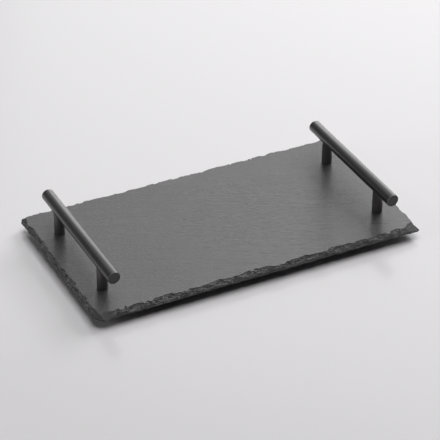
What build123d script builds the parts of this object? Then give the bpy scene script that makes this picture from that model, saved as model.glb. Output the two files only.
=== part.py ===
from build123d import *
import os
from math import atan2, cos, hypot, radians, sin, sqrt

# A slate serving board: one slab of riven slate with a knapped edge, two tubular handles on
# posts that are screwed on from beneath, and four rubber feet.
# The frame: +X runs to the right along the board's length, +Y to the rear, +Z up.
# The origin is on the table, under the middle of the slab. Lengths are in millimetres,
# turns and bearings in degrees, and a bearing is measured from +X towards +Y.

# Slab
board_length = 327.0
board_width = 176.0
slab_thickness = 6.0
front_left_radius = 11.0
front_right_radius = 3.0
rear_right_radius = 5.0
rear_left_radius = 4.0
screw_hole_radius = 2.5

# Nicks: the small bites that trim the slab's outline before its edge is dressed.
nick_width = 7.5
nick_bite = 0.8
nick_width_shares = (1.0, 0.7, 1.4, 0.85, 1.2)
nick_bite_shares = (0.5, 1.0, 0.3, 0.75)
nick_point_shares = (0.5, 0.3, 0.65)

# Scars: what the blows of the slater's hammer leave. Each is a round scoop that starts on the
# face, runs outward and down, and stops at the lip, the upright strip at the slab's bottom.
scar_width = 16.0
scar_lip = 1.5
scar_width_shares = (1.0, 0.62, 1.35, 0.8, 1.5, 0.7, 1.12)
scar_lip_shares = (0.6, 1.3, 0.9, 1.6)
scar_turn = 16.0
scar_turn_shares = (0.3, -0.8, 0.1, 0.9, -0.4, 0.6)
least_bow = 0.15
scoop_span_share = 1.3
scoop_height = 9.0

# How far in from each side its scars start. The uneven share says how much of the spread
# in the table below a side takes, and the crest share what is left of the reach at the crest
# between two scars. The front is dressed most freely, and the other sides more evenly.
front_scar_reach = 5.2
front_uneven_share = 1.0
front_crest_share = 0.6
right_scar_reach = 4.6
right_uneven_share = 0.3
right_crest_share = 0.85
rear_scar_reach = 3.8
rear_uneven_share = 0.3
rear_crest_share = 0.88
left_scar_reach = 4.3
left_uneven_share = 0.4
left_crest_share = 0.85
scar_spread_shares = (0.12, -0.28, 0.05, -0.15, 0.24)

# Corner flakes: larger pieces that broke away at the corners. Each value gives the bearing
# that the flake's scar faces, how far in from the square corner it starts, its width, and its
# lip, the height at which it passes the square corner. A lip under zero makes a steep scar
# that cuts through the slab's whole thickness inside the corner.
front_left_flake_bearing = -116.0
front_left_flake_reach = 7.0
front_left_flake_width = 16.0
front_left_flake_lip = -5.5
front_right_flake_bearing = -67.5
front_right_flake_reach = 11.2
front_right_flake_width = 34.0
front_right_flake_lip = 0.4
rear_right_flake_bearing = 48.0
rear_right_flake_reach = 6.0
rear_right_flake_width = 14.0
rear_right_flake_lip = 1.5
rear_left_flake_bearing = 140.0
rear_left_flake_reach = 4.0
rear_left_flake_width = 9.0
rear_left_flake_lip = 1.5
flake_crest_share = 0.85

# Handle bars. The inset is from the slab's end to the handle's axis, and the overhang from
# a post's axis to the bar's end.
handle_inset = 23.5
bar_overhang = 26.0
bar_radius = 6.0
bar_wall = 1.0
bar_axis_height = 26.0
bar_end_chamfer = 0.5
bar_mouth_chamfer = 0.3

# Posts
post_spacing = 96.0
post_radius = 5.0
post_foot_chamfer = 0.3
tapped_depth = 10.0
spigot_radius = 2.5
rivet_radius = 3.8
rivet_height = 2.4

# End plugs
plug_length = 8.0
plug_face_thickness = 1.5
plug_shoulder = 0.1
plug_taper = 0.6

# Screws and washers
thread_radius = 2.0
screw_length = 16.0
screw_tip_chamfer = 0.5
screw_head_radius = 4.0
screw_head_height = 3.1
screw_head_bevel = 1.3
recess_span = 4.4
recess_width = 1.0
recess_depth = 1.8
washer_radius = 6.0
washer_bore_radius = 2.2
steel_washer_thickness = 1.0
rubber_washer_thickness = 1.0

# Feet. The insets are from the slab's end and side to the foot's axis.
foot_end_inset = 39.5
foot_side_inset = 26.0
foot_height = 7.5
foot_top_radius = 10.0
foot_bottom_radius = 8.4
foot_bevel = 1.0
foot_pad_radius = 9.4
foot_pad_thickness = 0.5

# Fits and working allowances
seat_clearance = 0.05
thread_clearance = 0.05
press_clearance = 0.03
overrun = 2.0

# Which way a round piece stands from its place: up from it, or down from it
upright = (Align.CENTER, Align.CENTER, Align.MIN)
hanging = (Align.CENTER, Align.CENTER, Align.MAX)

# Lengths and spacings that follow
bar_length = post_spacing + 2 * bar_overhang
handle_spacing = board_length - 2 * handle_inset
foot_spacing_x = board_length - 2 * foot_end_inset
foot_spacing_y = board_width - 2 * foot_side_inset

# Levels above the table
slab_bottom = foot_height + foot_pad_thickness
slab_top = slab_bottom + slab_thickness
bar_axis = slab_top + bar_axis_height
bore_radius = bar_radius - bar_wall
screw_seat = slab_bottom - rubber_washer_thickness - steel_washer_thickness


def share_of(shares, index):
    """Takes shares in turn and starts again after the last."""
    return shares[index % len(shares)]


def bearing_vector(bearing):
    """Turns a bearing into a level direction."""
    return Vector(cos(radians(bearing)), sin(radians(bearing)), 0)


# The slab's outline

def slab_sides():
    """Gives each side of the slab: start corner, end corner, both radii, and its bearing."""
    half_length = board_length / 2
    half_width = board_width / 2
    front_left = Vector(-half_length, -half_width)
    front_right = Vector(half_length, -half_width)
    rear_right = Vector(half_length, half_width)
    rear_left = Vector(-half_length, half_width)
    return [
        (front_left, front_right, front_left_radius, front_right_radius, -90.0),
        (front_right, rear_right, front_right_radius, rear_right_radius, 0.0),
        (rear_right, rear_left, rear_right_radius, rear_left_radius, 90.0),
        (rear_left, front_left, rear_left_radius, front_left_radius, 180.0),
    ]


def uneven_widths(length, width, shares, first):
    """Divides a length into uneven widths that fill it exactly."""
    widths = []
    while sum(widths) < length - width / 2:
        widths.append(width * share_of(shares, first + len(widths)))
    stretch = length / sum(widths)
    return [value * stretch for value in widths]


def nicked_side(start, end, start_radius, end_radius, bearing, first):
    """Gives the points of one side between its corner rounds, with a bite between each two."""
    along = (end - start).normalized()
    inward = -bearing_vector(bearing)
    run = start_radius
    length = (end - start).length - start_radius - end_radius
    points = [start + along * run]
    for count, width in enumerate(uneven_widths(length, nick_width, nick_width_shares, first)):
        bite = inward * nick_bite * share_of(nick_bite_shares, first + count)
        point_share = share_of(nick_point_shares, first + count)
        points.append(start + along * (run + width * point_share) + bite)
        run += width
        points.append(start + along * run)
    return points


def slab_outline():
    """Joins the four nicked sides with a round at each corner."""
    chains = []
    first = 0
    for start, end, start_radius, end_radius, bearing in slab_sides():
        chains.append(nicked_side(start, end, start_radius, end_radius, bearing, first))
        first += len(chains[-1]) // 2
    edges = []
    for index, chain in enumerate(chains):
        edges.append(Polyline(*chain))
        corner = slab_sides()[index][1]
        radius = slab_sides()[index][3]
        onward = chains[(index + 1) % len(chains)][0]
        centre = chain[-1] + onward - corner
        middle = centre + (corner - centre).normalized() * radius
        edges.append(ThreePointArc(chain[-1], middle, onward))
    return make_face(edges)


# The slab's knapped edge

def scoop(foot, bearing, width, reach, rise, crest_share):
    """Makes the cutter of one scar: a shallow trough whose lowest line runs from the face to foot.

    It starts reach inside foot on the face, which lies rise above foot. At half its width,
    where its neighbour takes over, it still starts the crest's share of reach inside."""
    slope = atan2(rise, reach)
    bow = max(reach * (1 - crest_share) * sin(slope), least_bow)
    radius = (width ** 2 / 4 + bow ** 2) / (2 * bow)
    outward = bearing_vector(bearing)
    down = outward * cos(slope) - Vector(0, 0, sin(slope))
    away = outward * sin(slope) + Vector(0, 0, cos(slope))
    half_span = width * scoop_span_share / 2
    edge_rise = radius - sqrt(radius ** 2 - half_span ** 2)
    bed = ThreePointArc((-half_span, edge_rise), (0, 0), (half_span, edge_rise))
    over = Polyline(bed @ 1, (half_span, scoop_height), (-half_span, scoop_height), bed @ 0)
    start = foot - down * (hypot(reach, rise) + overrun)
    place = Plane(origin=start, x_dir=away.cross(down), z_dir=down)
    return place * extrude(make_face([bed, over]), hypot(reach, rise) + 2 * overrun)


def dressings():
    """Gives how each side is dressed: its scars' reach, uneven share and crest share."""
    return [
        (front_scar_reach, front_uneven_share, front_crest_share),
        (right_scar_reach, right_uneven_share, right_crest_share),
        (rear_scar_reach, rear_uneven_share, rear_crest_share),
        (left_scar_reach, left_uneven_share, left_crest_share),
    ]


def scars():
    """Makes the cutters of the row of scars along all four sides."""
    cutters = []
    count = 0
    for side, (side_reach, uneven_share, crest_share) in zip(slab_sides(), dressings()):
        start, end, start_radius, end_radius, bearing = side
        along = (end - start).normalized()
        run = 0.0
        for width in uneven_widths((end - start).length, scar_width, scar_width_shares, count):
            lip = scar_lip * share_of(scar_lip_shares, count)
            reach = side_reach * (1 + uneven_share * share_of(scar_spread_shares, count))
            turn = scar_turn * uneven_share * share_of(scar_turn_shares, count)
            foot = start + along * (run + width / 2) + Vector(0, 0, slab_bottom + lip)
            rise = slab_thickness - lip
            cutters.append(scoop(foot, bearing + turn, width, reach, rise, crest_share))
            run += width
            count += 1
    return cutters


def corner_flakes():
    """Makes the cutters of the larger scars, one across each corner."""
    bearings = [
        front_left_flake_bearing,
        front_right_flake_bearing,
        rear_right_flake_bearing,
        rear_left_flake_bearing,
    ]
    sizes = [
        (front_left_flake_reach, front_left_flake_width, front_left_flake_lip),
        (front_right_flake_reach, front_right_flake_width, front_right_flake_lip),
        (rear_right_flake_reach, rear_right_flake_width, rear_right_flake_lip),
        (rear_left_flake_reach, rear_left_flake_width, rear_left_flake_lip),
    ]
    cutters = []
    for side, bearing, (reach, width, lip) in zip(slab_sides(), bearings, sizes):
        foot = side[0] + Vector(0, 0, slab_bottom + lip)
        rise = slab_thickness - lip
        cutters.append(scoop(foot, bearing, width, reach, rise, flake_crest_share))
    return cutters


def make_slate_board():
    """Makes the slab with its knapped edge and the four screw holes."""
    blank = extrude(slab_outline(), slab_thickness)
    slab = Pos(0, 0, slab_bottom) * blank - (scars() + corner_flakes())
    drill = Cylinder(screw_hole_radius, slab_thickness + 2 * overrun)
    drills = [Pos(x, y, slab_bottom + slab_thickness / 2) * drill for x, y, name in post_places()]
    return slab - drills


# Places that the posts, screws, washers and feet share

def corners_of(spacing_x, spacing_y):
    """Gives four places about the middle of the board, with the name of each."""
    places = []
    for side_x, name_x in ((-1, "left"), (1, "right")):
        for side_y, name_y in ((-1, "front"), (1, "rear")):
            places.append((side_x * spacing_x / 2, side_y * spacing_y / 2, f"{name_x}_{name_y}"))
    return places


def post_places():
    """Gives the axis of each post, which its screw and washers share."""
    return corners_of(handle_spacing, post_spacing)


def along_bar(radius, length):
    """Makes a round bar about the handle's axis, in the handle's own frame."""
    return Pos(0, 0, bar_axis) * Rot(90, 0, 0) * Cylinder(radius, length)


# Handles

def make_handle_bar():
    """Makes the tube, with a hole in its underside for each post's spigot."""
    bar = along_bar(bar_radius, bar_length)
    bar = chamfer(bar.edges().filter_by(GeomType.CIRCLE), bar_end_chamfer)
    bar -= along_bar(bore_radius, bar_length + 2 * overrun)
    mouths = bar.edges().filter_by(GeomType.CIRCLE).group_by(SortBy.RADIUS)[0]
    bar = chamfer(mouths, bar_mouth_chamfer)
    hole = Cylinder(spigot_radius + seat_clearance, bar_radius, align=hanging)
    for side in (-1, 1):
        bar -= Pos(0, side * post_spacing / 2, bar_axis) * hole
    return bar


def make_post():
    """Makes one post about its own axis: tapped foot, saddle top, and riveted spigot."""
    foot = Pos(0, 0, slab_top)
    shaft = foot * Cylinder(post_radius, bar_axis_height, align=upright)
    shaft = chamfer(shaft.edges().filter_by(GeomType.CIRCLE).sort_by(Axis.Z)[0], post_foot_chamfer)
    shaft -= along_bar(bar_radius + seat_clearance, bar_length)
    wall_top = bar_axis_height - bore_radius
    spigot = foot * Cylinder(spigot_radius, wall_top + rivet_height / 2, align=upright)
    rivet = foot * Pos(0, 0, wall_top) * Cylinder(rivet_radius, rivet_height, align=upright)
    rivet &= along_bar(bore_radius - seat_clearance, bar_length)
    tapped = foot * Cylinder(thread_radius + thread_clearance, tapped_depth, align=upright)
    return shaft + spigot + rivet - tapped


def make_end_plug():
    """Makes the plug of the bar's front end: a flush face, and a stem that tapers inward."""
    face_radius = bore_radius - press_clearance
    stem_radius = face_radius - plug_shoulder
    face = Cylinder(face_radius, plug_face_thickness, align=upright)
    stem = Cone(stem_radius, stem_radius - plug_taper, plug_length - plug_face_thickness, align=upright)
    plug = face + Pos(0, 0, plug_face_thickness) * stem
    return Pos(0, -bar_length / 2, bar_axis) * Rot(-90, 0, 0) * plug


# Screws and washers

def make_screw():
    """Makes the pan-head screw about its own axis, head down."""
    shank = Cylinder(thread_radius, screw_length, align=upright)
    shank = chamfer(shank.edges().filter_by(GeomType.CIRCLE).sort_by(Axis.Z)[-1], screw_tip_chamfer)
    head = Cylinder(screw_head_radius, screw_head_height, align=hanging)
    head = chamfer(head.edges().filter_by(GeomType.CIRCLE).sort_by(Axis.Z)[0], screw_head_bevel)
    slot = Pos(0, 0, -screw_head_height) * Box(recess_span, recess_width, recess_depth, align=upright)
    screw = shank + head - slot - Rot(0, 0, 90) * slot
    return Pos(0, 0, screw_seat) * screw


def make_washer(bottom, thickness):
    """Makes a flat washer about the screw's axis."""
    disc = Cylinder(washer_radius, thickness)
    bore = Cylinder(washer_bore_radius, thickness + 2 * overrun)
    return Pos(0, 0, bottom + thickness / 2) * (disc - bore)


# Feet

def make_foot():
    """Makes the rubber foot about its own axis, narrower and bevelled where it stands."""
    foot = Cone(foot_bottom_radius, foot_top_radius, foot_height, align=upright)
    return chamfer(foot.edges().filter_by(GeomType.CIRCLE).sort_by(Axis.Z)[0], foot_bevel)


def make_foot_pad():
    """Makes the adhesive disc that holds the foot to the slab."""
    return Pos(0, 0, foot_height) * Cylinder(foot_pad_radius, foot_pad_thickness, align=upright)


def save(piece, name):
    """Writes one piece to its own file."""
    piece.label = name
    export_step(piece, f"parts/{name}.step")


def build():
    """Makes every piece, puts it in its place and writes it."""
    os.makedirs("parts", exist_ok=True)
    save(make_slate_board(), "slate_board")
    bar = make_handle_bar()
    front_plug = make_end_plug()
    rear_plug = mirror(front_plug, about=Plane.XZ)
    for side, name in ((-1, "left"), (1, "right")):
        place = Pos(side * handle_spacing / 2, 0, 0)
        save(place * bar, f"{name}_handle_bar")
        save(place * front_plug, f"{name}_front_end_plug")
        save(place * rear_plug, f"{name}_rear_end_plug")
    post = make_post()
    screw = make_screw()
    steel_washer = make_washer(screw_seat, steel_washer_thickness)
    rubber_washer = make_washer(screw_seat + steel_washer_thickness, rubber_washer_thickness)
    for x, y, name in post_places():
        place = Pos(x, y, 0)
        save(place * post, f"{name}_post")
        save(place * screw, f"{name}_screw")
        save(place * steel_washer, f"{name}_steel_washer")
        save(place * rubber_washer, f"{name}_rubber_washer")
    foot = make_foot()
    pad = make_foot_pad()
    for x, y, name in corners_of(foot_spacing_x, foot_spacing_y):
        save(Pos(x, y, 0) * foot, f"{name}_foot")
        save(Pos(x, y, 0) * pad, f"{name}_foot_pad")


build()
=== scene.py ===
# %% [markdown]
# # A slate serving board with two handles
# The object is a slab of riven slate with a hand-knapped edge. Two black tubular handles stand
# on posts that are screwed on from beneath, and four rubber feet carry the slab.
#
# The engineer's solids come first. They are loaded as a fixed frame, so that every piece made
# here goes exactly where the real one sits. All lengths are in metres, +X runs along the
# board, +Y to its rear, +Z up, and the table is at zero.

import bmesh
import bpy
import numpy as np
from math import hypot, radians
from mathutils import Matrix, Vector, kdtree, noise


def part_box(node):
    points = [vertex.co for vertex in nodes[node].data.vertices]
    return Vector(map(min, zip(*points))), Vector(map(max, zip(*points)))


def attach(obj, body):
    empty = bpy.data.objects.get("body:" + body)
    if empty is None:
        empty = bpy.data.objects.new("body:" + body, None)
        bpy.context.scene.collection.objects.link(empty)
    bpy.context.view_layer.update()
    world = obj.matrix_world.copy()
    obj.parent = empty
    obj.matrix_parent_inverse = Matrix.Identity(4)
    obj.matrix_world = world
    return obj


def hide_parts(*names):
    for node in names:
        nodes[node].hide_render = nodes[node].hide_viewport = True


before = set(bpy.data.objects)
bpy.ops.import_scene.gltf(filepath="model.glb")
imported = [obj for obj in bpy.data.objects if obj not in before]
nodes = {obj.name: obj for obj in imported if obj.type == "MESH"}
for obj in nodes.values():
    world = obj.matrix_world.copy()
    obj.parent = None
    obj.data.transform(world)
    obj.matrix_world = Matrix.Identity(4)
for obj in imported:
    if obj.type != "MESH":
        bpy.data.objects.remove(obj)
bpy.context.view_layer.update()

# %% [markdown]
# ## Places
# The pieces share a few places: the two handles, the four posts and the four feet. Each is read
# from the box of its solid and not typed again, so a change to the solids moves the looks too.

# %% Read the shared places
sides = ("left", "right")
corners = ("left_front", "left_rear", "right_front", "right_rear")
slab_low, slab_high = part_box("slate_board")
slab_bottom, slab_top = slab_low.z, slab_high.z


def middle_of(node):
    """Gives the middle of a solid's box."""
    low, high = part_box(node)
    return (low + high) / 2


def under_post(corner, level):
    """Gives the place on a post's axis at a height."""
    axis = middle_of(f"{corner}_post")
    return Vector((axis.x, axis.y, level))


print("slab from", round(slab_bottom, 4), "to", round(slab_top, 4), "m above the table")

# %% [markdown]
# ## Helpers for modelling by hand
# An operator acts on all that is selected. These helpers deselect everything, make one object
# active, enter edit mode, and select faces or edges by a test on their place.

# %% Selection helpers
same_place = 0.00002
smooth_angle = 35


def deselect_all():
    """Leaves edit mode and selects nothing."""
    if bpy.context.object and bpy.context.object.mode != "OBJECT":
        bpy.ops.object.mode_set(mode="OBJECT")
    bpy.ops.object.select_all(action="DESELECT")


def make_active(piece):
    """Selects one object alone and makes it active."""
    deselect_all()
    piece.select_set(True)
    bpy.context.view_layer.objects.active = piece


def apply_modifiers(piece):
    """Applies a piece's modifiers in order."""
    make_active(piece)
    for modifier in list(piece.modifiers):
        bpy.ops.object.modifier_apply(modifier=modifier.name)


def select_parts(piece, kind, test):
    """Selects the faces ("FACE") or edges ("EDGE") whose every point passes a test."""
    make_active(piece)
    bpy.ops.object.mode_set(mode="EDIT")
    bpy.ops.mesh.select_mode(type=kind)
    bpy.ops.mesh.select_all(action="DESELECT")
    mesh = bmesh.from_edit_mesh(piece.data)
    for part in mesh.faces if kind == "FACE" else mesh.edges:
        part.select_set(all(test(vertex.co) for vertex in part.verts))
    bmesh.update_edit_mesh(piece.data)


def at_level(level):
    """Makes the test that a point lies at a height."""
    return lambda point: abs(point.z - level) < same_place


def at_radius(radius):
    """Makes the test that a point lies at a distance from the Z axis."""
    return lambda point: abs(hypot(point.x, point.y) - radius) < same_place


def on_circle(level, radius):
    """Makes the test that a point lies at a height and at a distance from the Z axis."""
    return lambda point: at_level(level)(point) and at_radius(radius)(point)


def round_rim(piece, level, radius, size, segments):
    """Rounds off one round rim of a piece that stands about its own axis."""
    select_parts(piece, "EDGE", on_circle(level, radius))
    bpy.ops.mesh.bevel(offset=size, segments=segments, profile=0.5)


def shift_selection(x, y, z):
    """Moves what is selected."""
    bpy.ops.transform.translate(value=(x, y, z))


def draw_out(distance):
    """Extrudes the selected faces up or down."""
    bpy.ops.mesh.extrude_region_move(TRANSFORM_OT_translate={"value": (0, 0, distance)})


def round_blank(name, radius, low, high, vertices):
    """Makes a round blank about the Z axis between two heights."""
    deselect_all()
    middle = (0, 0, (low + high) / 2)
    bpy.ops.mesh.primitive_cylinder_add(vertices=vertices, radius=radius, depth=high - low, location=middle)
    bpy.ops.object.transform_apply(location=True, rotation=True, scale=True)
    bpy.context.object.name = name
    return bpy.context.object


def place_copies(master, material, wanted):
    """Puts a copy of a finished piece at each place in place of its solid, then drops the master.

    Each wanted entry is (name, node, place, turn about X in degrees)."""
    deselect_all()
    for name, node, place, turn in wanted:
        piece = bpy.data.objects.new(name, master.data.copy())
        bpy.context.scene.collection.objects.link(piece)
        piece.data.transform(Matrix.Translation(place) @ Matrix.Rotation(radians(turn), 4, "X"))
        make_active(piece)
        bpy.ops.object.shade_smooth_by_angle(angle=radians(smooth_angle))
        piece.data.materials.clear()
        piece.data.materials.append(material)
        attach(piece, "root")
        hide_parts(node)
    bpy.data.objects.remove(master)
    first = wanted[0][0]
    faces = len(bpy.data.objects[first].data.polygons)
    print(first, "and", len(wanted) - 1, "more:", faces, "faces each")


# %% [markdown]
# ## Helpers for shader nodes
# The world and the materials are built from the same few kinds of nodes. Each helper adds one,
# links or sets its inputs, and gives the output that the next node needs.

# %% Node helpers
def math_node(tree, operation, first, second):
    """Adds a Math node; each input is a socket or a number."""
    node = tree.nodes.new("ShaderNodeMath")
    node.operation = operation
    for slot, value in enumerate((first, second)):
        if isinstance(value, (int, float)):
            node.inputs[slot].default_value = value
        else:
            tree.links.new(value, node.inputs[slot])
    return node.outputs[0]


def noise_node(tree, vector, scale, detail, roughness=0.5, distortion=0.0):
    """Adds a noise texture on a vector; scale is a socket or a number."""
    node = tree.nodes.new("ShaderNodeTexNoise")
    tree.links.new(vector, node.inputs["Vector"])
    if isinstance(scale, (int, float)):
        node.inputs["Scale"].default_value = scale
    else:
        tree.links.new(scale, node.inputs["Scale"])
    node.inputs["Detail"].default_value = detail
    node.inputs["Roughness"].default_value = roughness
    node.inputs["Distortion"].default_value = distortion
    return node.outputs["Fac"]


def range_node(tree, value, low, high, to_low, to_high):
    """Maps a value's range to another and clamps it."""
    node = tree.nodes.new("ShaderNodeMapRange")
    tree.links.new(value, node.inputs["Value"])
    node.inputs["From Min"].default_value = low
    node.inputs["From Max"].default_value = high
    node.inputs["To Min"].default_value = to_low
    node.inputs["To Max"].default_value = to_high
    return node.outputs["Result"]


def mapping_node(tree, vector, rotation, scale):
    """Turns a pattern, then stretches it."""
    node = tree.nodes.new("ShaderNodeMapping")
    node.vector_type = "TEXTURE"
    tree.links.new(vector, node.inputs["Vector"])
    node.inputs["Rotation"].default_value = rotation
    node.inputs["Scale"].default_value = scale
    return node.outputs["Vector"]


# %% [markdown]
# ## Camera
# The photograph looks down on the board from the front left. The camera stands well back with
# a long lens, because the board's far and near edges are almost parallel in the picture.

# %% Set the camera
camera_place = Vector((-0.71756, -1.40309, 1.06358))
camera_right = Vector((0.89289, -0.45019, 0.00873))
camera_up = Vector((0.24281, 0.49774, 0.83264))
camera_data = bpy.data.cameras.new("camera")
camera_data.lens = 167.5
camera_data.sensor_width = 36.0
camera_data.clip_start = 0.05
camera_data.clip_end = 60.0
camera = bpy.data.objects.new("camera", camera_data)
bpy.context.scene.collection.objects.link(camera)
camera_back = camera_right.cross(camera_up)
turned = Matrix((camera_right, camera_up, camera_back)).transposed()
camera.matrix_world = Matrix.Translation(camera_place) @ turned.to_4x4()
bpy.context.scene.camera = camera
print("camera distance", round(camera_place.length, 3), "m")

# %% [markdown]
# ## Floor and light
# The board stands on a plain pale floor. Most of the light comes from a wide soft lamp behind
# and to the right: it brightens the slate by reflection, draws a bright line along each bar, and
# leaves the front edge in shade. A lamp overhead lights the floor and keeps the shadow short, one
# at the right widens the bars' sheen, and a weak one at the left lets the slab's left edge and
# the posts stand out from their shadow. The world is pale to a camera or a reflection, from dark
# at the front left to light at the right, and lights hardly at all, so the gap under the slab
# stays dark.

# %% Floor and world
bpy.context.scene.view_settings.view_transform = "Standard"

floor_size = 14
bpy.ops.mesh.primitive_plane_add(size=floor_size, location=(0, 0, 0))
floor = bpy.context.object
floor.name = "floor"
floor_material = bpy.data.materials.new("pale_floor")
floor_material.use_nodes = True
floor_shader = floor_material.node_tree.nodes["Principled BSDF"]
floor_shader.inputs["Base Color"].default_value = (0.80, 0.785, 0.80, 1)
floor_shader.inputs["Roughness"].default_value = 0.18
floor_shader.inputs["Specular IOR Level"].default_value = 0.3
floor.data.materials.append(floor_material)

light_side = (0.80, -0.35, 0.48)
dark_tone = 0.22
light_tone = 0.95
world_light = 0.025
world = bpy.data.worlds.new("studio")
bpy.context.scene.world = world
world.use_nodes = True
tree = world.node_tree
tree.nodes.clear()
path = tree.nodes.new("ShaderNodeLightPath")
shown_or_mirrored = math_node(tree, "MAXIMUM", path.outputs["Is Camera Ray"], path.outputs["Is Glossy Ray"])
seen = math_node(tree, "MAXIMUM", shown_or_mirrored, path.outputs["Is Transmission Ray"])
towards = tree.nodes.new("ShaderNodeVectorMath")
towards.operation = "DOT_PRODUCT"
tree.links.new(tree.nodes.new("ShaderNodeTexCoord").outputs["Generated"], towards.inputs[0])
towards.inputs[1].default_value = light_side
side_tone = range_node(tree, towards.outputs["Value"], -0.35, 0.25, to_low=dark_tone, to_high=light_tone)
shown = tree.nodes.new("ShaderNodeBackground")
tree.links.new(side_tone, shown.inputs["Color"])
lighting = tree.nodes.new("ShaderNodeBackground")
lighting.inputs["Strength"].default_value = world_light
tree.links.new(side_tone, lighting.inputs["Color"])
mix = tree.nodes.new("ShaderNodeMixShader")
tree.links.new(seen, mix.inputs[0])
tree.links.new(lighting.outputs[0], mix.inputs[1])
tree.links.new(shown.outputs[0], mix.inputs[2])
out = tree.nodes.new("ShaderNodeOutputWorld")
tree.links.new(mix.outputs[0], out.inputs[0])


# %% Lamps
def add_lamp(name, place, aim, width, height, power):
    """Adds a soft rectangular lamp that faces a point."""
    data = bpy.data.lights.new(name, "AREA")
    data.shape = "RECTANGLE"
    data.size = width
    data.size_y = height
    data.energy = power
    lamp = bpy.data.objects.new(name, data)
    lamp.location = place
    lamp.rotation_euler = (Vector(aim) - Vector(place)).to_track_quat("-Z", "Y").to_euler()
    bpy.context.scene.collection.objects.link(lamp)


board_middle = (0, 0, 0.014)
add_lamp("window", (1.92, 1.83, 1.15), board_middle, 3.0, 2.0, 24)
add_lamp("overhead", (0.20, 0.05, 2.30), board_middle, 1.8, 1.8, 29)
add_lamp("side", (1.60, 0.70, 1.50), board_middle, 0.9, 0.9, 20)
add_lamp("fill", (-2.00, 0.25, 0.65), board_middle, 1.0, 0.8, 7)

# %% [markdown]
# ## Shader groups
# Several finishes share the same effects, so each effect is a group that is built once and
# placed in every material that needs it, with that material's own values.
#
# *Riven grain* is the surface that slate shows where it was split: long low ripples and fine
# streaks that run one way and fade out from the middle of the board. *Broken layers* is the
# stone's look across its layers. *Speckle* is a fine even roughness, as on powder coat or rubber.

# %% Group builder
FLOAT = "NodeSocketFloat"
VECTOR = "NodeSocketVector"


def new_group(name, inputs, outputs):
    """Makes an empty group; inputs are (name, type, value), outputs (name, type)."""
    group = bpy.data.node_groups.new(name, "ShaderNodeTree")
    for label, kind, value in inputs:
        socket = group.interface.new_socket(name=label, in_out="INPUT", socket_type=kind)
        if value is not None:
            socket.default_value = value
    for label, kind in outputs:
        group.interface.new_socket(name=label, in_out="OUTPUT", socket_type=kind)
    start = group.nodes.new("NodeGroupInput")
    end = group.nodes.new("NodeGroupOutput")
    return group, start, end


# %% Group: riven grain
riven_grain, start, end = new_group(
    "riven_grain",
    [("Vector", VECTOR, None), ("Ripple Scale", FLOAT, 40.0), ("Streak Scale", FLOAT, 160.0)],
    [("Ripple", FLOAT), ("Streak", FLOAT), ("Sheets", FLOAT), ("Cloud", FLOAT)],
)
split_way = (0, 0, radians(-25.5))
streaky_place = (0.036, -0.004, slab_top)
ripple_stretch = (3.5, 1, 1)
streak_stretch = (22, 1, 1)
sheet_stretch = (5, 1, 1)
where = start.outputs["Vector"]
ripple_scale = start.outputs["Ripple Scale"]
streak_scale = start.outputs["Streak Scale"]
along = mapping_node(riven_grain, where, split_way, ripple_stretch)
ripple = noise_node(riven_grain, along, ripple_scale, detail=3, roughness=0.45, distortion=0.4)
finer = mapping_node(riven_grain, where, split_way, streak_stretch)
even_streak = noise_node(riven_grain, finer, streak_scale, detail=2, distortion=0.3)
patches = noise_node(riven_grain, along, scale=30.0, detail=3, roughness=0.6, distortion=0.8)
patchy = range_node(riven_grain, patches, 0.40, 0.62, to_low=0.4, to_high=1.35)
from_there = riven_grain.nodes.new("ShaderNodeVectorMath")
from_there.operation = "DISTANCE"
riven_grain.links.new(where, from_there.inputs[0])
from_there.inputs[1].default_value = streaky_place
fading = range_node(riven_grain, from_there.outputs["Value"], 0.03, 0.085, to_low=2.0, to_high=0.2)
strength = math_node(riven_grain, "MULTIPLY", patchy, fading)
about_nought = math_node(riven_grain, "SUBTRACT", even_streak, 0.5)
streak = math_node(riven_grain, "ADD", math_node(riven_grain, "MULTIPLY", about_nought, strength), 0.5)
ends = mapping_node(riven_grain, where, split_way, sheet_stretch)
sheet = noise_node(riven_grain, ends, scale=75.0, detail=5, roughness=0.55, distortion=0.3)
first_end = range_node(riven_grain, sheet, 0.44, 0.455, to_low=0, to_high=0.5)
second_end = range_node(riven_grain, sheet, 0.56, 0.575, to_low=0, to_high=0.5)
sheets = math_node(riven_grain, "ADD", first_end, second_end)
cloud = noise_node(riven_grain, where, scale=14.0, detail=4, distortion=0.6)
for socket, label in ((ripple, "Ripple"), (streak, "Streak"), (sheets, "Sheets"), (cloud, "Cloud")):
    riven_grain.links.new(socket, end.inputs[label])

# %% Group: broken layers
broken_layers, start, end = new_group(
    "broken_layers",
    [("Vector", VECTOR, None), ("Layer Scale", FLOAT, 160.0)],
    [("Layer", FLOAT), ("Chip", FLOAT)],
)
layer_stretch = (1.6, 1.6, 0.2)
where = start.outputs["Vector"]
layer_scale = start.outputs["Layer Scale"]
lying = mapping_node(broken_layers, where, (0, 0, 0), layer_stretch)
layer = noise_node(broken_layers, lying, layer_scale, detail=5, roughness=0.6, distortion=0.3)
chip = noise_node(broken_layers, where, scale=760.0, detail=4, roughness=0.6)
broken_layers.links.new(layer, end.inputs["Layer"])
broken_layers.links.new(chip, end.inputs["Chip"])

# %% Group: speckle
speckle, start, end = new_group(
    "speckle",
    [("Vector", VECTOR, None), ("Scale", FLOAT, 900.0)],
    [("Grain", FLOAT), ("Patch", FLOAT)],
)
where = start.outputs["Vector"]
grain = noise_node(speckle, where, start.outputs["Scale"], detail=3, roughness=0.6)
patch = noise_node(speckle, where, scale=60.0, detail=3)
speckle.links.new(grain, end.inputs["Grain"])
speckle.links.new(patch, end.inputs["Patch"])
print("groups:", [g.name for g in bpy.data.node_groups])


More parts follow.
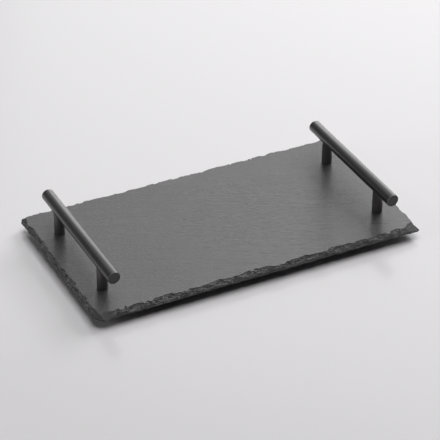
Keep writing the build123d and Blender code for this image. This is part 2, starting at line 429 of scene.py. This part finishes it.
# %% Material helpers
def new_material(name):
    """Makes a material and gives its tree, its shader and the object coordinates."""
    material = bpy.data.materials.new(name)
    material.use_nodes = True
    tree = material.node_tree
    shader = tree.nodes["Principled BSDF"]
    place = tree.nodes.new("ShaderNodeTexCoord").outputs["Object"]
    return material, tree, shader, place


def place_group(tree, group, vector, **values):
    """Places a group in a material with this material's values."""
    node = tree.nodes.new("ShaderNodeGroup")
    node.node_tree = group
    tree.links.new(vector, node.inputs["Vector"])
    for label, value in values.items():
        node.inputs[label.replace("_", " ")].default_value = value
    return node.outputs


def colour_ramp(tree, value, stops):
    """Turns a value into a colour between stops of (position, (r, g, b))."""
    node = tree.nodes.new("ShaderNodeValToRGB")
    tree.links.new(value, node.inputs["Fac"])
    ramp = node.color_ramp
    while len(ramp.elements) < len(stops):
        ramp.elements.new(0.5)
    for element, (position, colour) in zip(ramp.elements, stops):
        element.position = position
        element.color = (*colour, 1)
    return node.outputs["Color"]


def mix_colour(tree, share, first, second, blend="MIX"):
    """Mixes two colours; each input is a socket or a value."""
    node = tree.nodes.new("ShaderNodeMix")
    node.data_type = "RGBA"
    node.blend_type = blend
    for slot, value in ((0, share), (6, first), (7, second)):
        if isinstance(value, bpy.types.NodeSocket):
            tree.links.new(value, node.inputs[slot])
        elif slot == 0:
            node.inputs[slot].default_value = value
        else:
            node.inputs[slot].default_value = (*value, 1)
    return node.outputs[2]


def bump_node(tree, height, relief, normal=None):
    """Adds a Bump node over a normal; the relief is in metres."""
    node = tree.nodes.new("ShaderNodeBump")
    tree.links.new(height, node.inputs["Height"])
    node.inputs["Distance"].default_value = relief
    node.inputs["Strength"].default_value = 1.0
    if normal is not None:
        tree.links.new(normal, node.inputs["Normal"])
    return node.outputs["Normal"]


# %% [markdown]
# ## Slate
# Slate splits into sheets. Its edge is trimmed with a slater's hammer, which breaks scoops out
# of it. The scoops are in the solid. In each one the stone breaks off sheet by sheet, so it is
# covered with small ragged steps that lie level, like contour lines.
#
# The steps could be painted on as bumps, but then the edge would look smooth from the side, and
# the top line of each scoop would be a neat arc. A displacement texture can't make level steps
# either. So a copy of the solid is rebuilt in small even faces, and the points near the edge are
# moved in code: each goes down or up to the nearest sheet, and the sheets' lines wander.

# %% Copy the slab
loose_gap = 0.00001
slate = bpy.data.objects.new("knapped_slate", nodes["slate_board"].data.copy())
bpy.context.scene.collection.objects.link(slate)
make_active(slate)
bpy.ops.object.mode_set(mode="EDIT")
bpy.ops.mesh.select_all(action="SELECT")
bpy.ops.mesh.remove_doubles(threshold=loose_gap)
bpy.ops.object.mode_set(mode="OBJECT")

# %% Rebuild the border in small even faces
border = 0.0135
core_height = 0.02
voxel_size = 0.00056
bpy.ops.mesh.primitive_cube_add(size=1, location=(0, 0, (slab_bottom + slab_top) / 2))
core = bpy.context.object
core.scale = (2 * (slab_high.x - border), 2 * (slab_high.y - border), core_height)
cut = slate.modifiers.new("core", "BOOLEAN")
cut.operation = "DIFFERENCE"
cut.solver = "EXACT"
cut.object = core
even = slate.modifiers.new("even", "REMESH")
even.mode = "VOXEL"
even.voxel_size = voxel_size
apply_modifiers(slate)
bpy.data.objects.remove(core)
print("border:", len(slate.data.polygons), "faces")

# %% Cut out the middle, which a later cell closes with one face above and one below
seam_overlap = 0.002
seam = border - seam_overlap
make_active(slate)
bpy.ops.object.mode_set(mode="EDIT")
for place, away in (
    ((seam - slab_high.x, 0, 0), (1, 0, 0)),
    ((slab_high.x - seam, 0, 0), (-1, 0, 0)),
    ((0, seam - slab_high.y, 0), (0, 1, 0)),
    ((0, slab_high.y - seam, 0), (0, -1, 0)),
):
    bpy.ops.mesh.select_all(action="SELECT")
    bpy.ops.mesh.bisect(plane_co=place, plane_no=away)
mesh = bmesh.from_edit_mesh(slate.data)
inner_x, inner_y = slab_high.x - seam, slab_high.y - seam
for face in mesh.faces:
    middle = face.calc_center_median()
    face.select_set(abs(middle.x) < inner_x and abs(middle.y) < inner_y)
bmesh.update_edit_mesh(slate.data)
bpy.ops.mesh.delete(type="FACE")
bpy.ops.object.mode_set(mode="OBJECT")

# %% [markdown]
# ### Steps
# A sheet of slate is about a millimetre thick here. A point's depth below the face is turned into
# a whole number of sheets, with a short steep riser between two of them. Before that, three
# patterns shift the depth: a slow one lets the sheets' lines wander, a fine one makes them ragged,
# and small plates with straight sides lie a little higher or lower than their neighbours. Along
# the front the stone is broken off between the scoops too, so the lip there is of an even width.
# At the two front corners a flake came away in one piece, so the break is calm.

# %% Find the points near the edge
edge_margin = 0.0125
face_margin = 0.0001
flat_depth = 0.00008
points = np.empty(len(slate.data.vertices) * 3, np.float32)
slate.data.vertices.foreach_get("co", points)
points = points.reshape(-1, 3).astype(float)
from_side = np.minimum(slab_high.x - np.abs(points[:, 0]), slab_high.y - np.abs(points[:, 1]))
near = np.flatnonzero(from_side < edge_margin)
lowered = near[points[near, 2] < slab_top - flat_depth]
scar_points = kdtree.KDTree(len(lowered))
for index in lowered:
    scar_points.insert(points[index], int(index))
scar_points.balance()
print("points near the edge:", len(near), "of", len(points))


# %% Steps in the scoops
step_height = 0.0011
tread_share = 0.32
riser_share = 0.36
plate_size = 0.0055
plate_jump = 0.0010
plate_seed = 7.3
wander_size = 0.009
wander_depth = 0.0007
wander_seed = 0.3
ragged_size = 0.0022
ragged_depth = 0.0005
ragged_seed = 0.7
lip_width = 0.0050
lip_depth = 0.0022
crest_slope = 0.9
crest_height = 0.004
bottom_blend = 0.0012
calm_reach = 0.020
calm_core = {"left": 0.013, "right": 0.012}
calm_most = {"left": 1.0, "right": 0.8}
calm_sink = {"left": 0.0005, "right": 0.0011}
calm_evening = 0.85


def stepped(depth):
    """Turns a smooth depth below the face into flat sheets joined by steep steps."""
    if depth <= 0:
        return 0.0
    count = depth / step_height
    whole = int(count)
    part = count - whole
    return step_height * (whole + min(1.0, max(0.0, (part - tread_share) / riser_share)))


def plate_offset(x, y):
    """Gives each small plate of stone, with straight broken sides, its own offset."""
    place = Vector((x, y, 0.0)) / plate_size
    centre = noise.voronoi(place)[1][0]
    return (noise.cell(centre * plate_seed) - 0.5) * plate_jump


def within(value, low, high):
    """Maps a value between two bounds to a share between nought and one."""
    return max(0.0, min(1.0, (value - low) / (high - low)))


def nearer_side(x):
    """Says which end of the board a place is nearer to."""
    return "left" if x < 0 else "right"


def calm_share(x, y):
    """Says how smoothly the stone broke at a place: at two corners it came away in one piece."""
    side = nearer_side(x)
    corner_x = slab_low.x if side == "left" else slab_high.x
    return calm_most[side] * within(hypot(x - corner_x, y - slab_low.y), calm_reach, calm_core[side])


def carve(index):
    """Moves one point near the edge to the sheet it belongs to."""
    x, y, z = points[index]
    depth = slab_top - z
    if depth < flat_depth:
        depth = -crest_slope * scar_points.find((x, y, z))[2]
        if depth < -crest_height and y - slab_low.y > lip_width:
            return
    calm = calm_share(x, y)
    lip = lip_depth * (1 - (y - slab_low.y) / lip_width)
    depth = max(depth, lip - 2 * lip_depth * calm)
    wander = noise.noise(Vector((x, y, wander_seed)) / wander_size) * wander_depth
    ragged = noise.noise(Vector((x, y, ragged_seed)) / ragged_size) * ragged_depth
    above_bottom = within(z - slab_bottom, 0, bottom_blend)
    shift = (wander + ragged + plate_offset(x, y)) * above_bottom * (1 - calm_evening * calm)
    shifted = depth + shift
    in_one_piece = shifted + (calm_sink[nearer_side(x)] if shifted > 0 else 0)
    broken_depth = stepped(shifted) * (1 - calm) + in_one_piece * calm
    new_depth = broken_depth * above_bottom + depth * (1 - above_bottom)
    points[index, 2] = max(slab_bottom, min(slab_top, slab_top - max(0.0, new_depth)))


for index in near:
    if points[index, 2] > slab_bottom + face_margin:
        carve(int(index))

# %% [markdown]
# ### Nibbles
# The lip below the scoops is chipped as well, but by bites that go sideways into the stone. Each
# point there is moved towards the board's middle by a fine pattern that fades out further in.

# %% Nibble the lip
nibble_size = 0.0024
nibble_depth = 0.0007
nibble_reach = 0.008
nibble_full = 0.004
bite_offset = 0.6
calm_nibble = 0.7
height_stretch = 1.6
inside_margin = 0.00001
outer_rim = 0.001
centre_line = slab_high.x - slab_high.y
for index in near:
    x, y, z = points[index]
    if z > slab_top - face_margin and from_side[index] > outer_rim:
        continue
    inward = Vector((max(-centre_line, min(centre_line, x)) - x, -y, 0)).normalized()
    bite = noise.noise(Vector((x, y, z * height_stretch)) / nibble_size) + bite_offset
    share = within(from_side[index], nibble_reach, nibble_full)
    bite = max(0.0, bite) * (1 - calm_nibble * calm_share(x, y))
    points[index, :2] += np.array(inward.xy) * bite * nibble_depth * share
points = np.clip(points, np.array(slab_low) + inside_margin, np.array(slab_high) - inside_margin)
points[:, 2] = np.clip(points[:, 2], slab_bottom, slab_top)
slate.data.vertices.foreach_set("co", points.astype(np.float32).ravel())
slate.data.update()

# %% [markdown]
# ### A closed mesh
# Where the steps are steep, some points now lie on one another. They are merged, and what is left
# of their faces is dissolved. Then one face fills the middle of the top and one that of the
# underside, and the normals are made to point outwards.

# %% Merge the points that met, then fill the two openings
met_gap = 0.000005
sliver_size = 0.000002
rim_margin = 0.001
make_active(slate)
bpy.ops.object.mode_set(mode="EDIT")
bpy.ops.mesh.select_all(action="SELECT")
bpy.ops.mesh.remove_doubles(threshold=met_gap)
bpy.ops.mesh.dissolve_degenerate(threshold=sliver_size)
bpy.ops.mesh.select_mode(type="EDGE")
for level in (slab_top, slab_bottom):
    bpy.ops.mesh.select_all(action="DESELECT")
    mesh = bmesh.from_edit_mesh(slate.data)
    for edge in mesh.edges:
        distances = [abs(vertex.co.z - level) for vertex in edge.verts]
        edge.select_set(edge.is_boundary and max(distances) < rim_margin)
    bmesh.update_edit_mesh(slate.data)
    bpy.ops.mesh.edge_face_add()
bpy.ops.mesh.select_all(action="SELECT")
bpy.ops.mesh.normals_make_consistent(inside=False)
bpy.ops.object.mode_set(mode="OBJECT")
print("slate:", len(slate.data.polygons), "faces")

# %% [markdown]
# ### Marks for the finish
# The finish has to know where the stone is broken. Each point of the mesh carries two marks: one
# says that it isn't on a riven face, and one that it is on a front corner's flake, which is
# smoother, and darker by painted shade, the right corner's tip most. Marks follow the shape
# exactly, which a pattern in space couldn't do.

# %% Mark the broken stone
facet_angle = 24
level_share = 0.9995
riven_margin = 0.0002
# The flakes' painted shade, stronger at the right corner's tip than at the left.
flake_painted_shade = {"left": 1.0, "right": 1.8}
flake_softening = 0.5
make_active(slate)
bpy.ops.object.shade_smooth_by_angle(angle=radians(facet_angle))
mesh = slate.data
flat = np.zeros(len(mesh.vertices), bool)
for face in mesh.polygons:
    at_top = face.center.z > slab_top - riven_margin
    at_bottom = face.center.z < slab_bottom + riven_margin
    if abs(face.normal.z) > level_share and (at_top or at_bottom):
        flat[list(face.vertices)] = True
calm = np.array([calm_share(vertex.co.x, vertex.co.y) for vertex in mesh.vertices])
shade = calm * np.array([flake_painted_shade[nearer_side(vertex.co.x)] for vertex in mesh.vertices])
for name, values in (("broken", ~flat * (1 - flake_softening * calm)), ("shaded", ~flat * shade)):
    mark = mesh.attributes.new(name, "FLOAT", "POINT")
    mark.data.foreach_set("value", values.astype(np.float32))
triangles = sum(len(face.vertices) - 2 for face in mesh.polygons)
print("slate:", triangles, "triangles")
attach(slate, "root")
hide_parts("slate_board")

# %% [markdown]
# ### Slate finish
# Riven slate is a dark grey with fine streaks along its grain, lighter and darker ones side by
# side. Its sheen is silky and not glossy: it mirrors the posts close by, but not the bars further
# up. One roughness value can't do both, so a very fine relief across the grain spreads the
# reflection one way only. The broken stone is duller, with light and dark layers and bright chips.
# The corner flakes are duller still, and their colour is darkened as painted shade.

# %% Slate finish: colour
fibre_stretch = (6, 1, 1)
streak_share = 0.8
material, tree, shader, place = new_material("riven_slate")
grain = place_group(tree, riven_grain, place, Ripple_Scale=60.0, Streak_Scale=560.0)
fibre = noise_node(tree, mapping_node(tree, place, split_way, fibre_stretch), scale=2000.0, detail=1)
layers = place_group(tree, broken_layers, place, Layer_Scale=190.0)
fine = place_group(tree, speckle, place, Scale=1100.0)


def mark_node(tree, name):
    """Reads a mark that the mesh carries at its points."""
    node = tree.nodes.new("ShaderNodeAttribute")
    node.attribute_name = name
    return node.outputs["Fac"]


broken = mark_node(tree, "broken")
# Painted shade: the corner flakes' colour is made darker, most at the right tip.
flake_tone_and_painted_shade = range_node(tree, mark_node(tree, "shaded"), 0.0, 1.5, to_low=1.0, to_high=0.2)
tone = colour_ramp(tree, grain["Cloud"], [(0.3, (0.035, 0.034, 0.036)), (0.7, (0.046, 0.045, 0.047))])
streaks = colour_ramp(tree, grain["Streak"], [(0.35, (0.68, 0.68, 0.68)), (0.66, (1.38, 1.36, 1.36))])
face_colour = mix_colour(tree, streak_share, tone, streaks, "MULTIPLY")
layer_tone = colour_ramp(tree, layers["Layer"], [
    (0.40, (0.018, 0.017, 0.018)), (0.5, (0.060, 0.059, 0.061)), (0.62, (0.125, 0.122, 0.126)),
])
chip_tone = colour_ramp(tree, layers["Chip"], [
    (0.42, (0.5, 0.5, 0.5)), (0.58, (1.35, 1.35, 1.35)), (0.66, (3.0, 3.0, 3.0)),
])
fresh = mix_colour(tree, 1.0, layer_tone, chip_tone, "MULTIPLY")
colour = mix_colour(tree, broken, face_colour, fresh)
tree.links.new(mix_colour(tree, 1.0, colour, flake_tone_and_painted_shade, "MULTIPLY"), shader.inputs["Base Color"])

# %% Slate finish: sheen
broken_roughness = 0.66
slate_specular = 0.62
sheen = range_node(tree, grain["Streak"], 0.35, 0.65, to_low=0.24, to_high=0.34)
dull = tree.nodes.new("ShaderNodeMix")
dull.data_type = "FLOAT"
tree.links.new(math_node(tree, "MAXIMUM", broken, mark_node(tree, "shaded")), dull.inputs[0])
tree.links.new(sheen, dull.inputs[2])
dull.inputs[3].default_value = broken_roughness
tree.links.new(dull.outputs[0], shader.inputs["Roughness"])
shader.inputs["Specular IOR Level"].default_value = slate_specular

# %% Slate finish: relief
broken_layer = math_node(tree, "MULTIPLY", layers["Layer"], broken)
broken_chip = math_node(tree, "MULTIPLY", layers["Chip"], broken)
normal = None
for height, relief in (
    (grain["Ripple"], 0.00010), (grain["Sheets"], 0.00007), (grain["Streak"], 0.00019),
    (fibre, 0.0003), (broken_layer, 0.0006), (broken_chip, 0.0004), (fine["Grain"], 0.00003),
):
    normal = bump_node(tree, height, relief, normal)
tree.links.new(normal, shader.inputs["Normal"])
slate.data.materials.clear()
slate.data.materials.append(material)


# %% [markdown]
# ## Other finishes
# Powder coat, moulded plastic, plated steel, rubber and foam all have a fine even grain and a
# slight change of tone, so one function makes them with their own colours, gloss and relief. The
# posts and the adhesive pads keep the engineer's solids, which have the right shape.

# %% Other finishes
def finish_nodes(material, *names):
    """Gives the carried-over solids a finish."""
    for name in names:
        nodes[name].data.materials.clear()
        nodes[name].data.materials.append(material)


gloss_change = 0.03


def coated(name, low_colour, high_colour, roughness, scale, relief, metallic=0.0, specular=0.5):
    """A finish with a fine even grain and a slight change of tone over the surface."""
    material, tree, shader, place = new_material(name)
    fine = place_group(tree, speckle, place, Scale=scale)
    colour = colour_ramp(tree, fine["Patch"], [(0.3, low_colour), (0.7, high_colour)])
    tree.links.new(colour, shader.inputs["Base Color"])
    gloss = range_node(tree, fine["Patch"], 0.3, 0.7, roughness - gloss_change, roughness + gloss_change)
    tree.links.new(gloss, shader.inputs["Roughness"])
    shader.inputs["Metallic"].default_value = metallic
    shader.inputs["Specular IOR Level"].default_value = specular
    tree.links.new(bump_node(tree, fine["Grain"], relief), shader.inputs["Normal"])
    return material


satin_black = coated(
    "satin_black_coat", (0.015, 0.0135, 0.0135), (0.020, 0.018, 0.018),
    roughness=0.21, scale=1500, relief=0.000006, specular=0.92,
)
# Painted light: the posts' black coat is given a lighter colour than the bars', standing in for light on
# them.
post_black_painted_lighter = coated(
    "satin_black_post_painted_lighter", (0.064, 0.060, 0.060), (0.076, 0.071, 0.071),
    roughness=0.32, scale=1500, relief=0.000008,
)
plug_black = coated(
    "moulded_plug", (0.030, 0.029, 0.029), (0.036, 0.034, 0.035),
    roughness=0.45, scale=900, relief=0.00003,
)
plated = coated(
    "zinc_plated_steel", (0.50, 0.50, 0.52), (0.60, 0.60, 0.61),
    roughness=0.30, scale=600, relief=0.00001, metallic=1.0,
)
soft_washer = coated(
    "washer_rubber_black", (0.020, 0.020, 0.020), (0.030, 0.029, 0.029),
    roughness=0.70, scale=700, relief=0.00004,
)
foot_rubber = coated(
    "foot_rubber_black", (0.022, 0.022, 0.022), (0.032, 0.031, 0.031),
    roughness=0.60, scale=800, relief=0.00004,
)
foam = coated(
    "adhesive_foam", (0.10, 0.10, 0.10), (0.14, 0.14, 0.14),
    roughness=0.85, scale=2000, relief=0.00005,
)
for corner in corners:
    finish_nodes(post_black_painted_lighter, f"{corner}_post")
    finish_nodes(foam, f"{corner}_foot_pad")

# %% [markdown]
# ## Handle bars
# Each bar is a drawn steel tube with a powder coat, which rounds its ends off softly. A round
# blank is made about the Z axis. Its ends are inset by the tube's wall and pushed in to make the
# bore, and all four rims are rounded, which gives the thin glint at the end of a real tube. The
# finished tube is turned to lie along the board's width.

# %% Model a handle bar
bar_low, bar_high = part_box("left_handle_bar")
bar_radius = (bar_high.x - bar_low.x) / 2
bar_end = (bar_high.y - bar_low.y) / 2
bar_wall = 0.001
bore_depth = 0.012
bar_outer_round = 0.0004
bar_inner_round = 0.00015
bar = round_blank("handle_tube", bar_radius, -bar_end, bar_end, 96)
for bar_face in (-bar_end, bar_end):
    select_parts(bar, "FACE", at_level(bar_face))
    bpy.ops.mesh.inset(thickness=bar_wall)
    draw_out(bore_depth if bar_face < 0 else -bore_depth)
    round_rim(bar, bar_face, bar_radius, bar_outer_round, 4)
    round_rim(bar, bar_face, bar_radius - bar_wall, bar_inner_round, 2)
bar_places = []
for side in sides:
    bar_places.append((f"{side}_handle_tube", f"{side}_handle_bar", middle_of(f"{side}_handle_bar"), 90))
place_copies(bar, satin_black, bar_places)

# %% [markdown]
# ## End plugs
# A moulded plug closes each end of a tube. It sits a hair below the rim, so a thin dark line
# runs round it. Its face is slightly domed, and its stem tapers so that it can be pressed in.
# The dome is made with three insets, each raised a little less than the one before.

# %% Model an end plug
plug_gap = 0.00008
plug_radius = bar_radius - bar_wall - plug_gap
plug_sink = 0.0002
cap_thickness = 0.0015
cap_round = 0.00022
stem_step = 0.00012
stem_length = 0.0062
stem_taper = 0.88
dome_ring = 0.0012
cap_back = -plug_sink - cap_thickness
plug = round_blank("end_plug", plug_radius, cap_back, -plug_sink, 64)
select_parts(plug, "FACE", at_level(cap_back))
bpy.ops.mesh.inset(thickness=stem_step)
draw_out(-stem_length)
bpy.ops.transform.resize(value=(stem_taper, stem_taper, 1))
round_rim(plug, -plug_sink, plug_radius, cap_round, 3)
select_parts(plug, "FACE", at_level(-plug_sink))
for dome_rise in (0.00006, 0.00004, 0.00002):
    bpy.ops.mesh.inset(thickness=dome_ring)
    shift_selection(0, 0, dome_rise)
plug_places = []
for corner in corners:
    at_front = corner.endswith("front")
    low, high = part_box(f"{corner}_end_plug")
    place = Vector(((low.x + high.x) / 2, low.y if at_front else high.y, (low.z + high.z) / 2))
    plug_places.append((f"{corner}_plug_cap", f"{corner}_end_plug", place, 90 if at_front else -90))
place_copies(plug, plug_black, plug_places)

# %% [markdown]
# ## Screws
# The handles are held from beneath by four pan-head screws with a cross recess. The head is a
# round blank with a wide rounded rim and a slight crown. The recess is cut with two crossed
# wedges, and the shank is drawn out of the head's other side. A plain cylinder with a bevel
# would show a flat rim, where a pressed head is curved all over.

# %% Model a screw
screw_low, screw_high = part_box("left_front_screw")
head_radius = (screw_high.x - screw_low.x) / 2
head_height = 0.0031
crown_round = 0.0019
seat_round = 0.0002
tip_round = 0.0005
shank_radius = 0.002
recess_size = (0.0044, 0.0010, 0.0019)
recess_middle = 0.0009
recess_taper = (0.45, 0.55, 1)
shank_length = screw_high.z - screw_low.z - head_height
screw = round_blank("screw", head_radius, 0, head_height, 64)
select_parts(screw, "FACE", at_level(head_height))
bpy.ops.mesh.inset(thickness=head_radius - shank_radius)
draw_out(shank_length)
round_rim(screw, head_height + shank_length, shank_radius, tip_round, 2)
round_rim(screw, 0, head_radius, crown_round, 8)
round_rim(screw, head_height, head_radius, seat_round, 2)

# %% Cut the cross recess
recess_end = recess_middle + recess_size[2] / 2
deselect_all()
bpy.ops.mesh.primitive_cube_add(size=1, location=(0, 0, recess_middle))
wedge = bpy.context.object
wedge.scale = recess_size
bpy.ops.object.transform_apply(location=True, rotation=True, scale=True)
select_parts(wedge, "FACE", at_level(recess_end))
bpy.ops.transform.resize(value=recess_taper, center_override=(0, 0, recess_end))
select_parts(wedge, "FACE", lambda point: True)
bpy.ops.mesh.duplicate()
bpy.ops.transform.rotate(value=radians(90), orient_axis="Z", center_override=(0, 0, 0))
make_active(screw)
recess = screw.modifiers.new("recess", "BOOLEAN")
recess.operation = "DIFFERENCE"
recess.solver = "EXACT"
recess.use_self = True
recess.object = wedge
apply_modifiers(screw)
bpy.data.objects.remove(wedge)
screw_places = []
for corner in corners:
    place = under_post(corner, screw_low.z)
    screw_places.append((f"{corner}_pan_screw", f"{corner}_screw", place, 0))
place_copies(screw, plated, screw_places)

# %% [markdown]
# ## Washers
# A steel washer spreads each screw's load, and a rubber one under it keeps the steel off the
# slate. Both are blanks with a bore: the faces above and below are inset and deleted, and the
# two rims bridged. The steel one has the small rounded edge of a stamping. The rubber one is
# squeezed, so its edge bulges into a wide round.

# %% Model the washers
bore_radius = 0.0022
for kind, material, slot, rounding in (
    ("steel", plated, "plated_steel", 0.0002), ("rubber", soft_washer, "washer_rubber", 0.00045),
):
    low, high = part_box(f"left_front_{kind}_washer")
    radius = (high.x - low.x) / 2
    thickness = high.z - low.z
    washer = round_blank("washer", radius, 0, thickness, 72)
    for level in (0, thickness):
        select_parts(washer, "FACE", at_level(level))
        bpy.ops.mesh.inset(thickness=radius - bore_radius)
        bpy.ops.mesh.delete(type="FACE")
    select_parts(washer, "EDGE", at_radius(bore_radius))
    bpy.ops.mesh.bridge_edge_loops()
    for level in (0, thickness):
        round_rim(washer, level, radius, rounding, 4)
    bpy.ops.mesh.select_all(action="SELECT")
    bpy.ops.mesh.normals_make_consistent(inside=False)
    washer_places = []
    for corner in corners:
        place = under_post(corner, low.z)
        washer_places.append((f"{corner}_{kind}_disc", f"{corner}_{kind}_washer", place, 0))
    place_copies(washer, material, washer_places)

# %% [markdown]
# ## Feet
# The feet are moulded rubber bumpers, stuck on with an adhesive disc. A moulding has no sharp
# edges. The blank's lower face is drawn in to make the taper, its rim gets a wide round, and
# a shallow dish inside it leaves a ring for the foot to stand on.

# %% Model a foot
foot_low, foot_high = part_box("left_front_foot")
foot_radius = (foot_high.x - foot_low.x) / 2
foot_height = foot_high.z - foot_low.z
foot_taper = 0.84
sole_radius = foot_radius * foot_taper
sole_round = 0.0012
top_round = 0.0005
ring_width = 0.0024
dish_slope = 0.0007
dish_depth = 0.0006
dish_inner_ring = 0.0004
foot = round_blank("foot", foot_radius, 0, foot_height, 96)
select_parts(foot, "FACE", at_level(0))
bpy.ops.transform.resize(value=(foot_taper, foot_taper, 1), center_override=(0, 0, 0))
round_rim(foot, 0, sole_radius, sole_round, 6)
select_parts(foot, "FACE", at_level(0))
bpy.ops.mesh.inset(thickness=ring_width)
bpy.ops.mesh.inset(thickness=dish_slope)
shift_selection(0, 0, dish_depth)
bpy.ops.mesh.inset(thickness=dish_inner_ring)
round_rim(foot, foot_height, foot_radius, top_round, 4)
foot_places = []
for corner in corners:
    middle = middle_of(f"{corner}_foot")
    foot_places.append((f"{corner}_bumper", f"{corner}_foot", Vector((middle.x, middle.y, 0)), 0))
place_copies(foot, foot_rubber, foot_places)
